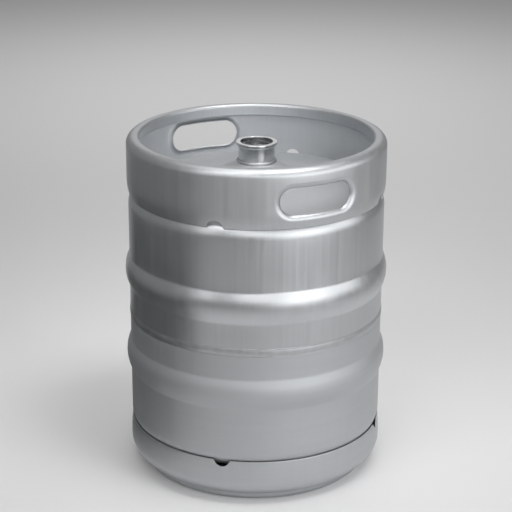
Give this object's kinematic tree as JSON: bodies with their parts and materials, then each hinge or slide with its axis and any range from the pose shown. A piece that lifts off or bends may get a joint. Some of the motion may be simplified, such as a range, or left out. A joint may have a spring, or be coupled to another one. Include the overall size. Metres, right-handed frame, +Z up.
{
  "type": "beer keg",
  "caption": "Stainless steel beer keg with rolling hoops, welded chimes with hand holds, a central neck and a spring-loaded valve with its spear tube inside.",
  "frame": {"origin": "on the keg's axis, at the level of the foot ring that it stands on", "axes": "+Z up along the keg's axis; the hand holds face -Y and +Y, with X across them"},
  "size_m": [0.408, 0.408, 0.532],
  "materials": {
    "shell_steel": "pickled satin stainless steel",
    "chime_steel": "pickled satin stainless steel",
    "weld_steel": "rippled weld bead, pickled",
    "turned_steel": "turned, bright",
    "spring_steel": "drawn wire",
    "ball_steel": "ground and polished",
    "seal_rubber": "matt black"
  },
  "bodies": {
    "keg": {"upper_shell": "shell_steel", "lower_shell": "shell_steel", "girth_weld": "weld_steel", "top_chime": "chime_steel", "bottom_chime": "chime_steel", "top_chime_weld_1": "weld_steel", "top_chime_weld_2": "weld_steel", "top_chime_weld_3": "weld_steel", "top_chime_weld_4": "weld_steel", "bottom_chime_weld_1": "weld_steel", "bottom_chime_weld_2": "weld_steel", "bottom_chime_weld_3": "weld_steel", "bottom_chime_weld_4": "weld_steel", "neck": "turned_steel", "neck_weld": "weld_steel", "body_seal": "seal_rubber", "extractor_body": "turned_steel", "retaining_ring": "spring_steel", "spring_cage": "turned_steel", "main_spring": "spring_steel"},
    "spear_tube": {"valve_seal": "seal_rubber", "tube_head": "turned_steel", "down_tube": "turned_steel", "ball_spring": "spring_steel"},
    "beer_ball": {"beer_ball": "ball_steel"}
  },
  "joints": [
    {"name": "gas_valve_slide", "type": "slide", "parent": "keg", "child": "spear_tube", "axis": [0, 0, -1], "range_m": [0, 0.008], "stiffness_N_per_m": 5000, "springref_m": -0.012, "deforming": ["main_spring"]},
    {"name": "beer_ball_slide", "type": "slide", "parent": "spear_tube", "child": "beer_ball", "axis": [0, 0, -1], "range_m": [0, 0.007], "stiffness_N_per_m": 400, "springref_m": -0.01, "deforming": ["ball_spring"]}
  ]
}
